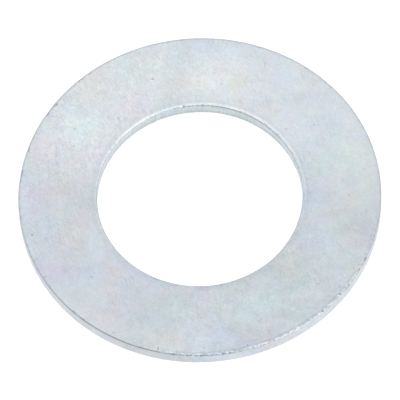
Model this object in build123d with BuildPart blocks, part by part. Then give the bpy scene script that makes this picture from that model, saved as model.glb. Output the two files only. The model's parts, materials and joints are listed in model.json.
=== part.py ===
from build123d import *
import os

# Flat washer for an M16 bolt, stamped from 1.2 mm sheet steel in one stroke of a
# compound die. Millimetres, +Z up along the bore. The origin is the centre of the
# underside, the face that the washer rests on.

# ---- driving dimensions ----
outer_diameter = 30.0
bore_diameter = 17.0
sheet_thickness = 1.2

# The die enters from the top and draws the sheet down with it, so the top edges roll
# over: a wide, shallow curve, modelled as a quarter of an ellipse. The punch draws the
# bore's edge in further than the die draws the rim.
bore_roll_width = 0.32
bore_roll_depth = 0.09
rim_roll_width = 0.25
rim_roll_depth = 0.10

# Below the roll the cut is a burnished land, square to the faces. Near the underside
# the metal breaks away instead, and the wall leans back from the cut.
breakaway_height = 0.38
breakaway_lean = 0.010

# Tumbling rounds the burr off the underside's edges.
burr_radius = 0.02

# ---- derived ----
outer_radius = outer_diameter / 2
bore_radius = bore_diameter / 2
bore_land_top = sheet_thickness - bore_roll_depth
rim_land_top = sheet_thickness - rim_roll_depth
bore_roll_centre = (bore_radius + bore_roll_width, bore_land_top)
rim_roll_centre = (outer_radius - rim_roll_width, rim_land_top)

# ---- the stamped ring: one section, turned about the bore's axis ----
with BuildPart() as flat_washer:
    with BuildSketch(Plane.XZ) as section:
        with BuildLine():
            Polyline(
                (bore_radius, bore_land_top),
                (bore_radius, breakaway_height),
                (bore_radius + breakaway_lean, 0),
                (outer_radius - breakaway_lean, 0),
                (outer_radius, breakaway_height),
                (outer_radius, rim_land_top),
            )
            EllipticalCenterArc(rim_roll_centre, rim_roll_width, rim_roll_depth, 0, arc_size=90)
            Line(
                (outer_radius - rim_roll_width, sheet_thickness),
                (bore_radius + bore_roll_width, sheet_thickness),
            )
            EllipticalCenterArc(bore_roll_centre, bore_roll_width, bore_roll_depth, 90, arc_size=90)
        make_face()
        underside_corners = section.vertices().group_by(Axis.Y)[0]
        fillet(underside_corners, radius=burr_radius)
    revolve(axis=Axis.Z)
flat_washer.part.label = "flat_washer"

os.makedirs("parts", exist_ok=True)
export_step(flat_washer.part, "parts/flat_washer.step")
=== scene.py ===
import json
import math

import bpy
import numpy as np
from mathutils import Matrix, Vector


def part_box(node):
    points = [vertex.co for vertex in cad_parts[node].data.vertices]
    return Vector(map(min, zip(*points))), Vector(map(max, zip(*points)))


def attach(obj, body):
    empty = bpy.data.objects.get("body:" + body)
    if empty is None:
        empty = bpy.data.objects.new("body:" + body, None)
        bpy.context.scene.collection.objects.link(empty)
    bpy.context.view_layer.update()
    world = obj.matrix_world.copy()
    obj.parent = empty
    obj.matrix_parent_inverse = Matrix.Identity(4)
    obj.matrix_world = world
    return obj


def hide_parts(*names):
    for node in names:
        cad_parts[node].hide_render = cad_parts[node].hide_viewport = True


# Looks of the flat washer: one zinc-plated stamping that lies on a pale floor.
# Metres, +Z up, the origin at the centre of the washer's underside.

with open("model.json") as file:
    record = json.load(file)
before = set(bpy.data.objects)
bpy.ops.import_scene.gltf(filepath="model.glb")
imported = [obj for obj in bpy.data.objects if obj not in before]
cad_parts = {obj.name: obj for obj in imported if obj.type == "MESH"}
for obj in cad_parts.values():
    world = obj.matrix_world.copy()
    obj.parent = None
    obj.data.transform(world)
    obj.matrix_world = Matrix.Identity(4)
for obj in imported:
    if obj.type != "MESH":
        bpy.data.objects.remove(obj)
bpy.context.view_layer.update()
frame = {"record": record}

MM = 0.001
NODE = "flat_washer"
SEED = 24

# ---- sizes, from the frame ----
node_low, node_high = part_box(NODE)
THICKNESS = node_high.z - node_low.z
OUTER_RADIUS = (node_high.x - node_low.x) / 2
mounts = {mount["name"]: mount for mount in frame["record"]["mounts"]}
BORE_RADIUS = mounts["bore"]["dims"]["r_mm"] * MM

# ---- the stamped edges: the same rolls, land, breakaway and burr as the CAD section ----
BORE_ROLL_WIDTH = 0.32 * MM
BORE_ROLL_DEPTH = 0.09 * MM
RIM_ROLL_WIDTH = 0.25 * MM
RIM_ROLL_DEPTH = 0.10 * MM
BREAKAWAY_HEIGHT = 0.38 * MM
BREAKAWAY_LEAN = 0.010 * MM
BURR_RADIUS = 0.02 * MM

# ---- how finely the ring is cut up: round it, and along each stretch of its section ----
SPOKES = 1320
FACE_STEPS = 5
BAND_STEPS = 6
BAND_WIDTH = 0.6 * MM
ROLL_STEPS = 14
LAND_STEPS = 4
BREAKAWAY_STEPS = 5
BURR_STEPS = 3


def quarter(centre, wide, tall, first_angle, steps):
    """A quarter of an ellipse, anticlockwise from its first angle, both ends included."""
    points = []
    for step in range(steps + 1):
        angle = first_angle + math.pi / 2 * step / steps
        points.append((centre[0] + wide * math.cos(angle), centre[1] + tall * math.sin(angle)))
    return points


def run(start, end, steps):
    """A straight run after its start, the end included."""
    points = []
    for step in range(1, steps + 1):
        share = step / steps
        points.append((start[0] + (end[0] - start[0]) * share, start[1] + (end[1] - start[1]) * share))
    return points


def section():
    """The ring's section as points (radius, height): down the bore, out underneath, up and back."""
    bore_foot = BORE_RADIUS + BREAKAWAY_LEAN
    outer_foot = OUTER_RADIUS - BREAKAWAY_LEAN
    bore_burr = (bore_foot + BURR_RADIUS, BURR_RADIUS)
    outer_burr = (outer_foot - BURR_RADIUS, BURR_RADIUS)
    bore_roll = (BORE_RADIUS + BORE_ROLL_WIDTH, THICKNESS - BORE_ROLL_DEPTH)
    rim_roll = (OUTER_RADIUS - RIM_ROLL_WIDTH, THICKNESS - RIM_ROLL_DEPTH)
    points = quarter(bore_roll, BORE_ROLL_WIDTH, BORE_ROLL_DEPTH, math.pi / 2, ROLL_STEPS)
    points += run(points[-1], (BORE_RADIUS, BREAKAWAY_HEIGHT), LAND_STEPS)
    points += run(points[-1], (bore_foot, BURR_RADIUS), BREAKAWAY_STEPS)
    points += quarter(bore_burr, BURR_RADIUS, BURR_RADIUS, math.pi, BURR_STEPS)[1:]
    points += run(points[-1], (outer_burr[0], 0), FACE_STEPS)
    points += quarter(outer_burr, BURR_RADIUS, BURR_RADIUS, math.pi * 3 / 2, BURR_STEPS)[1:]
    points += run(points[-1], (OUTER_RADIUS, BREAKAWAY_HEIGHT), BREAKAWAY_STEPS)
    points += run(points[-1], (OUTER_RADIUS, rim_roll[1]), LAND_STEPS)
    points += quarter(rim_roll, RIM_ROLL_WIDTH, RIM_ROLL_DEPTH, 0, ROLL_STEPS)[1:]
    # The top face is cut up more finely in a band beside each roll.
    points += run(points[-1], (rim_roll[0] - BAND_WIDTH, THICKNESS), BAND_STEPS)
    points += run(points[-1], (bore_roll[0] + BAND_WIDTH, THICKNESS), FACE_STEPS)
    points += run(points[-1], points[0], BAND_STEPS)[:-1]
    return np.array(points)


def outward_normals(points):
    """The outward direction at each point of the closed section, which has the metal on its left."""
    along = np.roll(points, -1, axis=0) - np.roll(points, 1, axis=0)
    normals = np.stack([along[:, 1], -along[:, 0]], axis=1)
    return normals / np.linalg.norm(normals, axis=1, keepdims=True)


def ripple(rng, shortest, longest):
    """A smooth random curve round the ring, about -1 to 1, of waves between two lengths."""
    spectrum = np.fft.rfft(rng.standard_normal(SPOKES))
    waves_round = np.arange(len(spectrum))
    wave_length = 2 * math.pi * OUTER_RADIUS / np.maximum(waves_round, 0.5)
    spectrum[(wave_length < shortest) | (wave_length > longest)] = 0
    curve = np.fft.irfft(spectrum, SPOKES)
    return curve / (2 * curve.std())


def nearness(points, place, reach):
    """1 at a place of the section, and fading to 0 over the reach round it."""
    distance = np.linalg.norm(points - np.array(place), axis=1)
    return np.exp(-((distance / reach) ** 2))


def smooth_step(values, low, high):
    """0 below the low value, 1 above the high one, and a smooth rise between them."""
    share = np.clip((values - low) / (high - low), 0, 1)
    return share * share * (3 - 2 * share)


# Where the edges wear and get knocked: just inside each roll, and at the burr's corners.
EDGE_INSET = 0.04 * MM
BORE_EDGE = (BORE_RADIUS + EDGE_INSET, THICKNESS - EDGE_INSET)
RIM_EDGE = (OUTER_RADIUS - EDGE_INSET, THICKNESS - EDGE_INSET)
BORE_FOOT = (BORE_RADIUS + BREAKAWAY_LEAN, 0)
RIM_FOOT = (OUTER_RADIUS - BREAKAWAY_LEAN, 0)

# Knocks along each edge: the edge, how many, the angle that they gather round, how far they spread
# from it, in degrees, and the depth, the width and the reach across the edge of the largest one.
# A depth below 0 is metal pushed up. The smallest knock is a share of the largest.
SMALLEST_KNOCK = 0.4
KNOCKS = [
    (RIM_EDGE, 60, 0, 180, 0.024 * MM, 0.14 * MM, 0.12 * MM),
    (RIM_EDGE, 12, -36, 24, 0.035 * MM, 0.12 * MM, 0.10 * MM),
    (RIM_EDGE, 16, 150, 30, 0.040 * MM, 0.15 * MM, 0.14 * MM),
    (RIM_EDGE, 34, -92, 13, -0.030 * MM, 0.09 * MM, 0.07 * MM),
    (RIM_EDGE, 12, -92, 13, 0.030 * MM, 0.08 * MM, 0.07 * MM),
    (BORE_EDGE, 36, 0, 180, 0.017 * MM, 0.14 * MM, 0.11 * MM),
    (BORE_EDGE, 18, 90, 14, 0.024 * MM, 0.05 * MM, 0.10 * MM),
    (BORE_EDGE, 10, 48, 14, 0.024 * MM, 0.06 * MM, 0.08 * MM),
    (BORE_FOOT, 24, 0, 180, 0.024 * MM, 0.15 * MM, 0.12 * MM),
    (RIM_FOOT, 40, 0, 180, 0.027 * MM, 0.16 * MM, 0.14 * MM),
]

# How far a knock's middle strays from its edge, and how deep a knock is where the plating shows it in full.
KNOCK_SCATTER = 0.04 * MM
DEEP_KNOCK = 0.04 * MM

# Unevenness of the worn edges, of the torn breakaway and of the scored land: sums of waves, each
# with its depth, its shortest length and its longest. Wear reaches this far from an edge, and the
# tearing fades in over this much height to each side of the breakaway's top.
WEAR_REACH = 0.17 * MM
WEAR = [(0.008 * MM, 2.0 * MM, 27.0 * MM), (0.005 * MM, 0.3 * MM, 2.0 * MM)]
TEARS = [(0.007 * MM, 0.2 * MM, 0.6 * MM), (0.008 * MM, 0.6 * MM, 4.0 * MM)]
SCORES = [(0.003 * MM, 0.2 * MM, 0.8 * MM)]
TEAR_FADE = 0.04 * MM

# The surface stays inside the CAD solid's rim, and stands this much proud of its bore at most.
BORE_PROUD = 0.007 * MM

# The bore's wall shows its cut in full, and the rim's this much of it. In full, the scoring also darkens
# the bore's wall as painted shade.
RIM_WALL_SHARE = 0.1


def uneven(rng, waves):
    """The sum of some waves round the ring, in metres."""
    return sum(depth * ripple(rng, shortest, longest) for depth, shortest, longest in waves)


def knocks(rng, points, angles, edge, count, middle, spread, depth, width, reach):
    """Small knocks in an edge, as depths below the true surface."""
    total = np.zeros((len(angles), len(points)))
    for _ in range(count):
        angle = math.radians(middle + spread * rng.uniform(-1, 1))
        size = rng.uniform(SMALLEST_KNOCK, 1.0)
        place = np.array(edge) + rng.uniform(-1, 1, 2) * KNOCK_SCATTER
        away = (angles - angle + math.pi) % (2 * math.pi) - math.pi
        along = away * edge[0] / (width * size)
        across = nearness(points, place, reach * size)
        total += depth * size * np.exp(-(along**2))[:, None] * across[None, :]
    return total


def build_mesh():
    """The ring with the small faults of a stamped edge, and the attributes that its plating reads."""
    rng = np.random.default_rng(SEED)
    points = section()
    normals = outward_normals(points)
    angles = np.arange(SPOKES) * 2 * math.pi / SPOKES
    radius, height = points[:, 0], points[:, 1]
    on_wall = np.abs(normals[:, 0]) ** 2
    torn = on_wall * smooth_step(BREAKAWAY_HEIGHT - height, -TEAR_FADE, TEAR_FADE)

    proud = np.zeros((SPOKES, len(points)))
    for edge in (BORE_EDGE, RIM_EDGE):
        proud += uneven(rng, WEAR)[:, None] * nearness(points, edge, WEAR_REACH)[None, :]
    proud += uneven(rng, TEARS)[:, None] * torn[None, :]
    proud += uneven(rng, SCORES)[:, None] * (on_wall - torn)[None, :]
    knocked = np.zeros((SPOKES, len(points)))
    for knock in KNOCKS:
        knocked += knocks(rng, points, angles, *knock)
    proud -= knocked

    ring_radius = radius[None, :] + proud * normals[None, :, 0]
    ring_radius = np.clip(ring_radius, BORE_RADIUS - BORE_PROUD, OUTER_RADIUS)
    ring_height = np.clip(height[None, :] + proud * normals[None, :, 1], 0, THICKNESS)
    coordinates = np.stack(
        [
            ring_radius * np.cos(angles)[:, None],
            ring_radius * np.sin(angles)[:, None],
            ring_height,
        ],
        axis=2,
    ).reshape(-1, 3)

    count = len(points)
    spoke, place = np.meshgrid(np.arange(SPOKES), np.arange(count), indexing="ij")
    next_spoke, next_place = (spoke + 1) % SPOKES, (place + 1) % count
    quads = np.stack(
        [
            next_spoke * count + place,
            next_spoke * count + next_place,
            spoke * count + next_place,
            spoke * count + place,
        ],
        axis=2,
    ).reshape(-1, 4)

    mesh = bpy.data.meshes.new("washer_ring")
    mesh.from_pydata(coordinates.tolist(), [], quads.tolist())
    mesh.polygons.foreach_set("use_smooth", np.ones(len(quads), bool))
    share = np.where(radius < (BORE_RADIUS + OUTER_RADIUS) / 2, 1.0, RIM_WALL_SHARE)
    fields = {
        "wall": np.tile(on_wall * share, SPOKES),
        "tear": np.tile(torn * share, SPOKES),
        "knock": np.clip(knocked / DEEP_KNOCK, 0, 1).reshape(-1),
    }
    for name, values in fields.items():
        attribute = mesh.attributes.new(name, "FLOAT", "POINT")
        attribute.data.foreach_set("value", values.astype(np.float32))
    mesh.update()
    return mesh


class Nodes:
    """Short calls that add nodes to a tree and wire them up. An input is a socket or a plain value."""

    def __init__(self, tree):
        self.tree = tree
        tree.nodes.clear()

    def add(self, kind, inputs=(), **settings):
        node = self.tree.nodes.new(kind)
        for name, value in settings.items():
            setattr(node, name, value)
        for name, value in dict(inputs).items():
            self.feed(node.inputs[name], value)
        return node

    def feed(self, socket, value):
        if isinstance(value, bpy.types.NodeSocket):
            self.tree.links.new(value, socket)
        else:
            socket.default_value = value

    def math(self, operation, first, second=0.0):
        return self.add("ShaderNodeMath", {0: first, 1: second}, operation=operation).outputs[0]

    def vector(self, operation, first, second, output="Vector"):
        return self.add("ShaderNodeVectorMath", {0: first, 1: second}, operation=operation).outputs[output]

    def attribute(self, name):
        return self.add("ShaderNodeAttribute", attribute_name=name).outputs["Fac"]

    def place(self, units=(1, 1, 1), turn=0.0, centre=(0, 0, 0)):
        """The surface point from a centre, in its own units for X, Y and Z, turned by some degrees."""
        point = self.add("ShaderNodeTexCoord").outputs["Object"]
        inputs = {
            "Vector": point,
            "Location": centre,
            "Rotation": (0, 0, math.radians(turn)),
            "Scale": units,
        }
        return self.add("ShaderNodeMapping", inputs, vector_type="TEXTURE").outputs[0]

    def ring(self, radius, reach):
        """1 on a circle round the bore's axis, fading to 0 over the reach to each side."""
        level = self.vector("MULTIPLY", self.place(), (1, 1, 0))
        away = self.math("SUBTRACT", self.vector("LENGTH", level, (0, 0, 0), "Value"), radius)
        return self.between(self.math("ABSOLUTE", away), 0, reach, 1.0, 0.0)

    def sector(self, middle, spread):
        """1 at an angle round the ring, fading to 0 over the spread to each side, both in degrees."""
        turn = math.radians(middle)
        level = self.vector("MULTIPLY", self.place(), (1, 1, 0))
        direction = self.vector("NORMALIZE", level, (0, 0, 0))
        facing = self.vector("DOT_PRODUCT", direction, (math.cos(turn), math.sin(turn), 0), "Value")
        return self.between(facing, math.cos(math.radians(spread)), 1.0)

    def noise(self, size, where=None, detail=3.0, roughness=0.55, twist=0.0):
        """Noise whose lumps are about size metres across."""
        settings = {
            "Vector": where or self.place(),
            "Scale": 1 / size,
            "Detail": detail,
            "Roughness": roughness,
            "Distortion": twist,
        }
        return self.add("ShaderNodeTexNoise", settings).outputs["Fac"]

    def between(self, value, low, high, to_low=0.0, to_high=1.0):
        """A value, spread smoothly so that its low and high levels come out as two other values."""
        inputs = {"Value": value, "From Min": low, "From Max": high, "To Min": to_low, "To Max": to_high}
        return self.add("ShaderNodeMapRange", inputs, interpolation_type="SMOOTHSTEP").outputs[0]

    def lumps(self, size, detail, low, high, to_low=0.0, to_high=1.0):
        """Noise, spread in the same way."""
        return self.between(self.noise(size, detail=detail), low, high, to_low, to_high)

    def ramp(self, value, stops):
        node = self.add("ShaderNodeValToRGB", {"Fac": value})
        elements = node.color_ramp.elements
        while len(elements) < len(stops):
            elements.new(0.5)
        for element, (position, colour) in zip(elements, stops):
            element.position = position
            element.color = (*colour, 1)
        return node.outputs["Color"]

    def mix(self, share, first, second, blend="MIX"):
        node = self.add("ShaderNodeMix", data_type="RGBA", blend_type=blend)
        self.feed(node.inputs[0], share)
        self.feed(node.inputs[6], first)
        self.feed(node.inputs[7], second)
        return node.outputs[2]


# ---- the zinc plating ----
# The levels that nearly all of a noise lies between.
NOISE_SPAN = (0.25, 0.75)

# The bare film's colour, and the multipliers that the thickness of its clear passivation tints it by,
# except the first two: the first is painted light, and the second is painted shade and a duller tone.
ZINC = (0.611, 0.659, 0.702)
TINTS = {
    # painted light, lightening the film where the face should look more brightly lit
    "painted_light": (1.100, 1.092, 1.078),
    # painted shade in the large patch at the front right, a duller tone in the small ones
    "dull": (0.930, 0.938, 0.945),
    "teal": (0.955, 1.030, 1.000),
    "green": (1.000, 1.020, 0.965),
    "khaki": (1.018, 1.006, 0.950),
    "cream": (1.045, 0.995, 0.945),
    "pink": (1.045, 0.968, 0.985),
    "lilac": (1.030, 0.965, 1.025),
    "violet": (1.015, 0.950, 1.050),
    "sky": (0.972, 0.990, 1.040),
    "blue": (0.957, 0.975, 1.042),
}

# The broad tinted patches: angle round the ring in degrees, place across it from 0 at the bore to
# 1 at the rim, reach in metres, and tint. The light and dark ones come first: the large light ones
# are painted light, lighter towards the back, and the large dark one is painted shade, darker
# towards the front right; the smaller dark ones are a duller tone.
PATCHES = [
    # Painted light: the face lighter towards the back.
    (145, 0.60, 8.5 * MM, "painted_light"),
    (155, 0.35, 3.0 * MM, "painted_light"),
    (108, 0.50, 12.0 * MM, "painted_light"),
    (80, 0.45, 4.0 * MM, "painted_light"),
    (45, 0.50, 13.0 * MM, "painted_light"),
    # Painted shade: the face darker towards the front right.
    (-48, 0.60, 15.0 * MM, "dull"),
    (178, 0.20, 4.0 * MM, "dull"),
    (-12, 0.80, 3.5 * MM, "dull"),
    (-82, 0.90, 3.0 * MM, "dull"),
    (-115, 0.50, 4.0 * MM, "dull"),
    (158, 0.85, 3.0 * MM, "pink"),
    (156, 0.10, 2.5 * MM, "lilac"),
    (142, 0.45, 2.5 * MM, "teal"),
    (128, 0.80, 2.5 * MM, "cream"),
    (122, 0.20, 2.5 * MM, "pink"),
    (110, 0.70, 3.0 * MM, "green"),
    (90, 0.35, 2.5 * MM, "cream"),
    (70, 0.40, 2.0 * MM, "cream"),
    (84, 0.85, 3.0 * MM, "sky"),
    (58, 0.85, 2.5 * MM, "sky"),
    (30, 0.45, 3.5 * MM, "sky"),
    (15, 0.25, 2.5 * MM, "teal"),
    (10, 0.70, 3.0 * MM, "green"),
    (-5, 0.55, 3.0 * MM, "khaki"),
    (-18, 0.65, 2.0 * MM, "khaki"),
    (-5, 0.10, 2.5 * MM, "blue"),
    (-20, 0.85, 2.0 * MM, "pink"),
    (-25, 0.30, 2.5 * MM, "sky"),
    (-32, 0.90, 1.5 * MM, "green"),
    (-44, 0.15, 2.0 * MM, "cream"),
    (-50, 0.45, 3.0 * MM, "green"),
    (-66, 0.50, 3.0 * MM, "teal"),
    (-68, 0.90, 2.0 * MM, "pink"),
    (-85, 0.75, 3.5 * MM, "sky"),
    (-90, 0.10, 2.0 * MM, "lilac"),
    (-104, 0.40, 3.0 * MM, "teal"),
    (-104, 0.80, 2.5 * MM, "cream"),
    (-126, 0.80, 2.5 * MM, "pink"),
    (-126, 0.10, 2.5 * MM, "blue"),
    (-138, 0.30, 2.5 * MM, "pink"),
    (-145, 0.55, 2.5 * MM, "sky"),
    (-153, 0.85, 2.5 * MM, "violet"),
    (-163, 0.40, 2.5 * MM, "cream"),
    (-170, 0.15, 2.0 * MM, "pink"),
    (-168, 0.75, 2.5 * MM, "blue"),
    (178, 0.80, 3.0 * MM, "violet"),
    (173, 0.40, 3.0 * MM, "cream"),
]

# How far the patches' outlines wander, and the size of the lumps that they wander in.
WANDER = 3.4 * MM
WANDER_SIZE = 2.2 * MM
WANDER_DETAIL = 3.0

# Sectors of the ring: the middle and the spread to each side, in degrees.
BACK_LEFT = (135, 75)
CLOUDY_SIDE = (-65, 65)

# Mottle of the film: the size of its lumps, and the multipliers at its two ends. Each layer is
# read from the noise this far above the last, so that the layers don't line up.
MOTTLE_LAYER_GAP = 0.1
MOTTLE_DETAIL = 1.5
MOTTLE_TWIST = 0.5
MOTTLES = [
    (1.6 * MM, (0.980, 0.994, 1.022), (1.022, 1.006, 0.975)),
    (0.6 * MM, (0.992, 0.998, 1.007), (1.007, 1.002, 0.992)),
    (1.4 * MM, (0.976, 1.012, 1.000), (1.020, 0.988, 1.000)),
]

# Cloudiness of the metal under the film: lumps of this size and every size below it. It is
# strongest on the cloudy side, and a little stronger at the back left than elsewhere.
CLOUD_SIZE = 4.0 * MM
CLOUD_DETAIL = 6.0
CLOUD_ROUGHNESS = 0.95
CLOUD_DEPTH = 0.125
CLOUD_LEAST = 0.60
CLOUD_MORE_AT_BACK = 0.15

# The sheet's grain under the plating: how far its short streaks are turned from lengthwise, in
# degrees, their width and length, and how deep they are. It is strongest at the back left.
GRAIN_LEAST = 0.6
GRAIN_DETAIL = 1.0
GRAINS = [
    (38, 0.10 * MM, 0.50 * MM, 0.050),
    (8, 0.09 * MM, 0.36 * MM, 0.042),
    (-80, 0.09 * MM, 0.30 * MM, 0.032),
]


def place_on_face(angle, across):
    """The point on the top face at an angle in degrees, and from 0 at the bore to 1 at the rim."""
    radius = BORE_RADIUS + (OUTER_RADIUS - BORE_RADIUS) * across
    turn = math.radians(angle)
    return (radius * math.cos(turn), radius * math.sin(turn), THICKNESS)


def patches(nodes, colour):
    """The colour with the tinted patches over it, some of them painted light and shade. Their outlines
    wander.
    """
    point = nodes.place()
    inputs = {"Vector": point, "Scale": 1 / WANDER_SIZE, "Detail": WANDER_DETAIL}
    drift = nodes.add("ShaderNodeTexNoise", inputs).outputs["Color"]
    drift = nodes.vector("SUBTRACT", drift, (0.5, 0.5, 0.5))
    wandering = nodes.vector("ADD", point, nodes.vector("MULTIPLY", drift, (WANDER,) * 3))
    for angle, across, reach, tint in PATCHES:
        away = nodes.vector("DISTANCE", wandering, place_on_face(angle, across), "Value")
        share = nodes.between(away, 0, reach, 1.0, 0.0)
        colour = nodes.mix(share, colour, (*TINTS[tint], 1), "MULTIPLY")
    return colour


def mottle(nodes, colour):
    """The colour with the film's mottle over it. Each layer is read at a height of its own."""
    for index, (size, low, high) in enumerate(MOTTLES):
        shifted = nodes.vector("ADD", nodes.place(), (0, 0, MOTTLE_LAYER_GAP * index))
        blotch = nodes.noise(size, shifted, detail=MOTTLE_DETAIL, twist=MOTTLE_TWIST)
        tint = nodes.mix(nodes.between(blotch, *NOISE_SPAN), (*low, 1), (*high, 1))
        colour = nodes.mix(1.0, colour, tint, "MULTIPLY")
    return colour


def tinted_film(nodes):
    """The film's colour: broad patches, among them painted light and shade, a fine mottle, and the metal's
    own cloudiness and grain.
    """
    colour = mottle(nodes, patches(nodes, (*ZINC, 1)))
    back_left = nodes.sector(*BACK_LEFT)
    cloudy = nodes.between(nodes.sector(*CLOUDY_SIDE), 0, 1, CLOUD_LEAST, 1.0)
    cloudy = nodes.math("ADD", cloudy, nodes.math("MULTIPLY", back_left, CLOUD_MORE_AT_BACK))
    cloud = nodes.noise(CLOUD_SIZE, detail=CLOUD_DETAIL, roughness=CLOUD_ROUGHNESS)
    cloud = nodes.between(cloud, *NOISE_SPAN, 1 - CLOUD_DEPTH, 1 + CLOUD_DEPTH)
    colour = nodes.mix(cloudy, colour, cloud, "MULTIPLY")
    grainy = nodes.between(back_left, 0, 1, GRAIN_LEAST, 1.0)
    for turn, width, length, depth in GRAINS:
        streaks = nodes.noise(1.0, nodes.place((width, length, width), turn), detail=GRAIN_DETAIL)
        streaks = nodes.between(streaks, *NOISE_SPAN, 1 - depth, 1 + depth)
        colour = nodes.mix(grainy, colour, streaks, "MULTIPLY")
    return colour


# How a line, a wall or a set of scratches is broken up: the size of the lumps and their detail, the
# noise levels where it is weakest and strongest, and how strong it is there, if not 0 and 1.
SCRATCH_BREAKS = (2.7 * MM, 2.0, 0.40, 0.60)
# The burnished bore edge and its painted highlight are broken up like this:
BURNISH_AND_HIGHLIGHT_BREAKS = (0.6 * MM, 2.0, 0.35, 0.60, 0.5, 1.0)
# The rim's beads and their painted highlights are broken up like this:
BEAD_HIGHLIGHT_BREAKS = (0.25 * MM, 1.0, 0.42, 0.58)
DULL_BREAKS = (0.35 * MM, 3.0, 0.38, 0.55, 0.3, 1.0)
PITTING_BREAKS = (0.09 * MM, 3.0, 0.35, 0.65)

# Handling scratches: how far a set is turned from lengthwise, in degrees, the width and length
# of a line, and how rare they are, from 0.5, common, to 0.8, very rare. A line fades in over this
# much of the noise.
SCRATCH_SOFTNESS = 0.08
SCRATCHES = [
    (6, 0.07 * MM, 1.5 * MM, 0.62),
    (32, 0.06 * MM, 1.2 * MM, 0.59),
    (-58, 0.08 * MM, 4.8 * MM, 0.68),
    (74, 0.07 * MM, 1.6 * MM, 0.65),
]


def scratches(nodes):
    """1 on a hairline, 0 elsewhere."""
    total = 0.0
    for turn, width, length, rarity in SCRATCHES:
        lie = nodes.place((width, length, width), turn)
        line = nodes.between(nodes.noise(1.0, lie, detail=1.0), rarity, rarity + SCRATCH_SOFTNESS)
        total = nodes.math("MAXIMUM", total, line)
    return nodes.math("MULTIPLY", total, nodes.lumps(*SCRATCH_BREAKS))


# Small pits: the spacing of the cells that may hold one each, the share of the cells that hold
# none, the largest pit's reach, the share of that reach that it fades over, and the size of the
# raggedness of its outline.
SPECK_SPACING = 2.5 * MM
SPECK_NONE = 0.60
SPECK_REACH = 0.11 * MM
SPECK_FADE = 0.5
SPECK_RAGGED = 0.15 * MM

# Single marks: angle round the ring in degrees, place across it from 0 at the bore to 1 at
# the rim, half of the size across the ring and round it, and how dark from 0 to 1. A mark is
# darkest within its core, a share of its size.
MARK_CORE = 0.2
MARKS = [
    (-27, 0.990, 0.10 * MM, 0.40 * MM, 1.0),
    (-31, 0.985, 0.09 * MM, 0.30 * MM, 0.7),
    (-42, 0.980, 0.12 * MM, 0.15 * MM, 1.0),
    (-50, 0.985, 0.12 * MM, 0.15 * MM, 1.0),
    (-106, 0.950, 0.26 * MM, 0.07 * MM, 1.0),
    (-77, 0.940, 0.18 * MM, 0.07 * MM, 0.9),
    (107, 0.500, 0.09 * MM, 0.18 * MM, 1.0),
    (130, 0.230, 0.16 * MM, 0.20 * MM, 0.4),
    (146, 0.570, 0.12 * MM, 0.14 * MM, 0.6),
    (153, 0.460, 0.11 * MM, 0.12 * MM, 0.6),
    (141, 0.965, 0.14 * MM, 0.24 * MM, 0.8),
    (130, 0.975, 0.10 * MM, 0.16 * MM, 0.7),
    (51, 0.980, 0.10 * MM, 0.18 * MM, 0.6),
    (40, 0.970, 0.09 * MM, 0.14 * MM, 0.6),
    (-168, 0.890, 0.11 * MM, 0.15 * MM, 0.9),
    (-159, 0.940, 0.10 * MM, 0.10 * MM, 0.6),
    (-142, 0.490, 0.11 * MM, 0.13 * MM, 0.6),
    (-152, 0.960, 0.10 * MM, 0.14 * MM, 0.6),
]


def marks(nodes):
    """How dark the single marks are, 0 elsewhere."""
    total = 0.0
    for angle, across, deep, wide, dark in MARKS:
        local = nodes.place((deep, wide, THICKNESS / 2), angle, place_on_face(angle, across))
        away = nodes.vector("LENGTH", local, (0, 0, 0), "Value")
        total = nodes.math("MAXIMUM", total, nodes.between(away, MARK_CORE, 1.0, dark, 0.0))
    return total


def specks(nodes):
    """1 in the middle of a small pit, 0 elsewhere. Only some of the cells have one, of several sizes."""
    ragged = nodes.mix(nodes.noise(SPECK_RAGGED, detail=1.0), (0, 1, 0, 1), (1, 0, 0, 1))
    ragged = nodes.vector("MULTIPLY", ragged, (SPECK_REACH,) * 3)
    inputs = {"Vector": nodes.vector("ADD", nodes.place(), ragged), "Scale": 1 / SPECK_SPACING}
    cells = nodes.add("ShaderNodeTexVoronoi", inputs, voronoi_dimensions="2D")
    lot = nodes.add("ShaderNodeSeparateColor", {0: cells.outputs["Color"]}).outputs[0]
    reach = nodes.between(lot, SPECK_NONE, 1.0, 0.0, SPECK_REACH / SPECK_SPACING)
    depth = nodes.math("SUBTRACT", reach, cells.outputs["Distance"])
    return nodes.between(depth, 0.0, SPECK_FADE * SPECK_REACH / SPECK_SPACING)


# Lines along the edges, some that the die and the tumbling leave, and some painted highlights and
# shade: radius, reach to each side, and the sector that shows the line, or None for all round.
FRONT_RIGHT = (-64, 62)
LINES = {
    # Burnished bore edge, brightened further as a painted highlight.
    "burnish_and_highlight": (BORE_RADIUS + 0.09 * MM, 0.11 * MM, None),
    # Painted highlight: a bright line on the far side of the bore's edge.
    "painted_glint": (BORE_RADIUS + 0.24 * MM, 0.09 * MM, (35, 70)),
    "drawn_in": (BORE_RADIUS + 0.38 * MM, 0.32 * MM, None),
    # Painted highlights on the burr's beads at the front right.
    "bead_highlights": (OUTER_RADIUS - 0.13 * MM, 0.10 * MM, FRONT_RIGHT),
    "dull": (OUTER_RADIUS - 0.27 * MM, 0.13 * MM, FRONT_RIGHT),
    # Painted highlight: the rim's wall brighter at the front right.
    "painted_wall_highlight": (OUTER_RADIUS, 0.04 * MM, (-62, 40)),
    # Painted shade: the rim's wall darker and a little greyer at the front left.
    "painted_wall_shade": (OUTER_RADIUS, 0.04 * MM, (-118, 45)),
}


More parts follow.
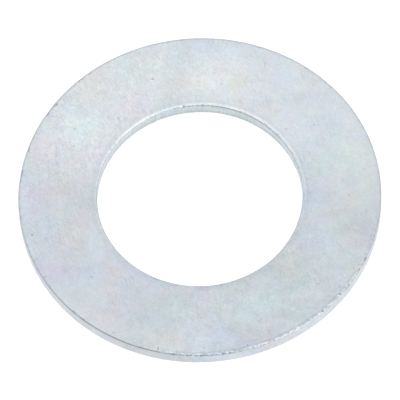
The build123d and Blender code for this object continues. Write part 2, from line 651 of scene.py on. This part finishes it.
def edge_lines(nodes):
    """The lines along the edges, by name, each 1 where it is strongest and 0 off it."""
    lines = {}
    for name, (radius, reach, sector) in LINES.items():
        lines[name] = nodes.ring(radius, reach)
        if sector:
            lines[name] = nodes.math("MULTIPLY", lines[name], nodes.sector(*sector))
    # The burnished edge and its painted highlight come and go round the bore.
    lines["burnish_and_highlight"] = nodes.math("MULTIPLY", lines["burnish_and_highlight"], nodes.lumps(*BURNISH_AND_HIGHLIGHT_BREAKS))
    lines["dull"] = nodes.math("MULTIPLY", lines["dull"], nodes.lumps(*DULL_BREAKS))
    # The beads along the rim carry painted highlights, and painted shade in the gaps between them dims the
    # rim's reflection.
    bead_highlights = nodes.math("MULTIPLY", lines["bead_highlights"], nodes.lumps(*BEAD_HIGHLIGHT_BREAKS))
    # Painted shade between the beads dims the rim's reflection there.
    lines["bead_gap_shade"] = nodes.math("SUBTRACT", lines["bead_highlights"], bead_highlights)
    lines["bead_highlights"] = bead_highlights
    return lines


# The walls' upright scoring: its width, how many times longer than wide it is, its detail, the
# noise levels where it is weakest and strongest, and how strong it is at those two.
SCORE_WIDTH = 0.14 * MM
SCORE_STRETCH = 12
SCORE_DETAIL = 2.0
SCORE_SPREAD = (0.20, 0.80, 0.20, 0.80)


def wall_faults(nodes):
    """The cut's traces on the walls, by name: scoring all over them, which also darkens the bore's wall as
    painted shade, and pitting where they are torn.
    """
    upright = nodes.place((1, 1, SCORE_STRETCH))
    score_and_bore_shade = nodes.between(nodes.noise(SCORE_WIDTH, upright, detail=SCORE_DETAIL), *SCORE_SPREAD)
    return {
        "score_and_bore_shade": nodes.math("MULTIPLY", nodes.attribute("wall"), score_and_bore_shade),
        "pitting": nodes.math("MULTIPLY", nodes.attribute("tear"), nodes.lumps(*PITTING_BREAKS)),
    }


# Each fault of the surface, and each painted highlight and shade: how it shades the colour, and what
# it adds to the roughness and to the height of the relief.
FAULTS = {
    "scratch": ((0.870, 0.875, 0.880), 0.08, -0.8),
    "speck": ((0.780, 0.785, 0.795), 0.10, -2.0),
    "mark": ((0.520, 0.530, 0.550), 0.10, -3.0),
    "knock": ((0.680, 0.700, 0.720), 0.10, 0.0),
    # burnished edge, brightened further as a painted highlight
    "burnish_and_highlight": ((1.200, 1.170, 1.130), -0.09, 0.0),
    # painted highlight on the far side of the bore's edge
    "painted_glint": ((1.170, 1.155, 1.130), -0.06, 0.0),
    "drawn_in": ((0.955, 0.960, 0.965), 0.02, 0.0),
    # painted highlights on the rim's beads
    "bead_highlights": ((1.150, 1.130, 1.110), -0.08, 0.0),
    # painted shade dimming the rim's reflection between the beads
    "bead_gap_shade": ((0.840, 0.850, 0.870), 0.05, 0.0),
    "dull": ((0.830, 0.845, 0.870), 0.05, 0.0),
    # painted highlight on the rim's wall at the front right
    "painted_wall_highlight": ((1.080, 1.065, 1.070), -0.02, 0.0),
    # painted shade on the rim's wall at the front left
    "painted_wall_shade": ((0.960, 0.950, 0.965), 0.02, 0.0),
    # scoring, and painted shade that darkens the bore's wall
    "score_and_bore_shade": ((0.710, 0.800, 0.785), 0.02, 1.2),
    "pitting": ((0.820, 0.825, 0.830), 0.16, 3.0),
}

# Roughness of the sound plating: patches, and a fine grain over them, as rows for Nodes.lumps.
GLOSS_PATCHES = (1.1 * MM, 4.0, *NOISE_SPAN, 0.28, 0.36)
GLOSS_GRAIN = (0.12 * MM, 3.0, 0.30, 0.70, -0.03, 0.03)

# Relief of the sound plating: how deep a height of 1 is, then a fine and a coarse layer, each with
# its lump size and detail, and how many times taller the coarse one is.
RELIEF_DEPTH = 0.0008 * MM
FINE_RELIEF = (0.09 * MM, 3.0)
COARSE_RELIEF = (0.5 * MM, 2.0)
COARSE_RELIEF_HEIGHT = 2.0


def relief(nodes):
    """The height of the sound plating's surface, as a multiple of the relief's depth."""
    fine_size, fine_detail = FINE_RELIEF
    coarse_size, coarse_detail = COARSE_RELIEF
    coarse = nodes.math("MULTIPLY", nodes.noise(coarse_size, detail=coarse_detail), COARSE_RELIEF_HEIGHT)
    return nodes.math("ADD", nodes.noise(fine_size, detail=fine_detail), coarse)


def zinc_plating():
    """Bright zinc under a clear, faintly tinted film, with the faults of use and of the cut, and painted
    highlights and shade.
    """
    material = bpy.data.materials.new("bright_zinc_plating")
    material.use_nodes = True
    nodes = Nodes(material.node_tree)
    places = {
        "scratch": scratches(nodes),
        "speck": specks(nodes),
        "mark": marks(nodes),
        "knock": nodes.attribute("knock"),
        **edge_lines(nodes),
        **wall_faults(nodes),
    }
    colour = tinted_film(nodes)
    gloss = nodes.math("ADD", nodes.lumps(*GLOSS_PATCHES), nodes.lumps(*GLOSS_GRAIN))
    height = relief(nodes)
    for name, (shade, rougher, taller) in FAULTS.items():
        colour = nodes.mix(places[name], colour, (*shade, 1), "MULTIPLY")
        gloss = nodes.math("ADD", gloss, nodes.math("MULTIPLY", places[name], rougher))
        height = nodes.math("ADD", height, nodes.math("MULTIPLY", places[name], taller))
    bump = nodes.add("ShaderNodeBump", {"Height": height, "Distance": RELIEF_DEPTH, "Strength": 1.0})

    shader = nodes.add(
        "ShaderNodeBsdfPrincipled",
        {"Base Color": colour, "Metallic": 1.0, "Roughness": gloss, "Normal": bump.outputs[0]},
    )
    output = nodes.add("ShaderNodeOutputMaterial")
    nodes.tree.links.new(shader.outputs[0], output.inputs["Surface"])
    return material


def build_washer():
    """The one visible piece, in place of the CAD node."""
    washer = bpy.data.objects.new("zinc_washer", build_mesh())
    bpy.context.scene.collection.objects.link(washer)
    washer.data.materials.append(zinc_plating())
    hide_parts(NODE)
    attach(washer, "root")


# ---- floor, light and camera ----
FLOOR_SIDE = 6.0
FLOOR_GAP = 0.02 * MM
PAPER_GREY = 0.45
PAPER_ROUGHNESS = 0.9
PAPER_GLOW = 0.80


def build_floor():
    """A sheet of glowing white paper, just clear of the washer's underside."""
    half = FLOOR_SIDE / 2
    mesh = bpy.data.meshes.new("floor")
    corners = [(-half, -half), (half, -half), (half, half), (-half, half)]
    mesh.from_pydata([(x, y, -FLOOR_GAP) for x, y in corners], [], [(0, 1, 2, 3)])
    floor = bpy.data.objects.new("floor", mesh)
    bpy.context.scene.collection.objects.link(floor)
    material = bpy.data.materials.new("white_paper")
    material.use_nodes = True
    paper = material.node_tree.nodes["Principled BSDF"]
    paper.inputs["Base Color"].default_value = (PAPER_GREY, PAPER_GREY, PAPER_GREY, 1)
    paper.inputs["Roughness"].default_value = PAPER_ROUGHNESS
    paper.inputs["Emission Color"].default_value = (1, 1, 1, 1)
    paper.inputs["Emission Strength"].default_value = PAPER_GLOW
    mesh.materials.append(material)
    # The steel mirrors the room and not the paper, as it does over a glass table.
    floor.visible_glossy = False


# The room's brightness by the height of the direction looked in, from -1, straight down,
# to 1, straight up: a bright ceiling, dimmer walls and a bright table.
ROOM_LIGHT = 1.35
ROOM_BRIGHTNESS = [
    (-1.00, 0.84),
    (-0.85, 0.83),
    (-0.50, 0.64),
    (0.00, 0.48),
    (0.40, 0.58),
    (0.87, 0.76),
    (1.00, 0.96),
]

# Sides of the room that are darker or brighter: the direction, how strongly, and the brightness there.
# A side fades in between these two cosines of the angle away from its direction.
ROOM_SIDE_FADE = (0.30, 0.95)
ROOM_SIDES = [
    ((-0.45, -0.80, 0.40), 0.70, 0.16),
    ((0.75, -0.55, -0.15), 0.75, 0.90),
]


def build_world():
    """A pale room, darker at the front left and brighter at the front right."""
    world = bpy.data.worlds.new("pale_room")
    world.use_nodes = True
    bpy.context.scene.world = world
    nodes = Nodes(world.node_tree)
    direction = nodes.add("ShaderNodeTexCoord").outputs["Generated"]
    up = nodes.add("ShaderNodeSeparateXYZ", {0: direction}).outputs["Z"]
    level = nodes.add("ShaderNodeMapRange", {"Value": up, "From Min": -1.0, "From Max": 1.0}).outputs[0]
    colour = nodes.ramp(level, [((height + 1) / 2, (light,) * 3) for height, light in ROOM_BRIGHTNESS])
    for side, strength, light in ROOM_SIDES:
        facing = nodes.vector("DOT_PRODUCT", direction, Vector(side).normalized(), output="Value")
        share = nodes.between(facing, *ROOM_SIDE_FADE, 0.0, strength)
        colour = nodes.mix(share, colour, (light, light, light, 1))
    background = nodes.add("ShaderNodeBackground", {"Color": colour, "Strength": ROOM_LIGHT})
    output = nodes.add("ShaderNodeOutputWorld")
    nodes.tree.links.new(background.outputs[0], output.inputs["Surface"])


def soft_light(name, place, side, watts):
    """A square soft light that points at the washer."""
    lamp = bpy.data.lights.new(name, "AREA")
    lamp.shape = "SQUARE"
    lamp.size = side
    lamp.energy = watts
    light = bpy.data.objects.new(name, lamp)
    light.location = place
    light.rotation_mode = "QUATERNION"
    light.rotation_quaternion = Vector(place).to_track_quat("Z", "Y")
    light.visible_camera = False
    bpy.context.scene.collection.objects.link(light)


# The view: a long lens, looking down at the washer's face, the camera tipped a little to one side.
SIGHT_ELEVATION = math.radians(61.13)
CAMERA_DISTANCE = 42.42 * OUTER_RADIUS
CAMERA_LENS = 692.5
CAMERA_ROLL = math.radians(-2.92)
AIM = Vector((0, 0, 0.27 * THICKNESS))


def build_camera():
    """The camera on its line of sight, aimed just above the underside's centre."""
    camera = bpy.data.objects.new("camera", bpy.data.cameras.new("camera"))
    camera.data.sensor_width = 36.0
    camera.data.lens = CAMERA_LENS
    camera.data.clip_start = 0.01
    camera.data.clip_end = 20.0
    back = Vector((0, -math.cos(SIGHT_ELEVATION), math.sin(SIGHT_ELEVATION)))
    level = (-back).to_track_quat("-Z", "Y").to_matrix()
    tipped = level @ Matrix.Rotation(CAMERA_ROLL, 3, "Z")
    camera.matrix_world = Matrix.LocRotScale(AIM + back * CAMERA_DISTANCE, tipped.to_quaternion(), None)
    bpy.context.scene.collection.objects.link(camera)
    bpy.context.scene.camera = camera


bpy.context.scene.view_settings.view_transform = "Standard"
build_floor()
build_world()
soft_light("front_right_light", place=(0.50, -0.35, 0.85), side=0.40, watts=0.8)
build_camera()
build_washer()
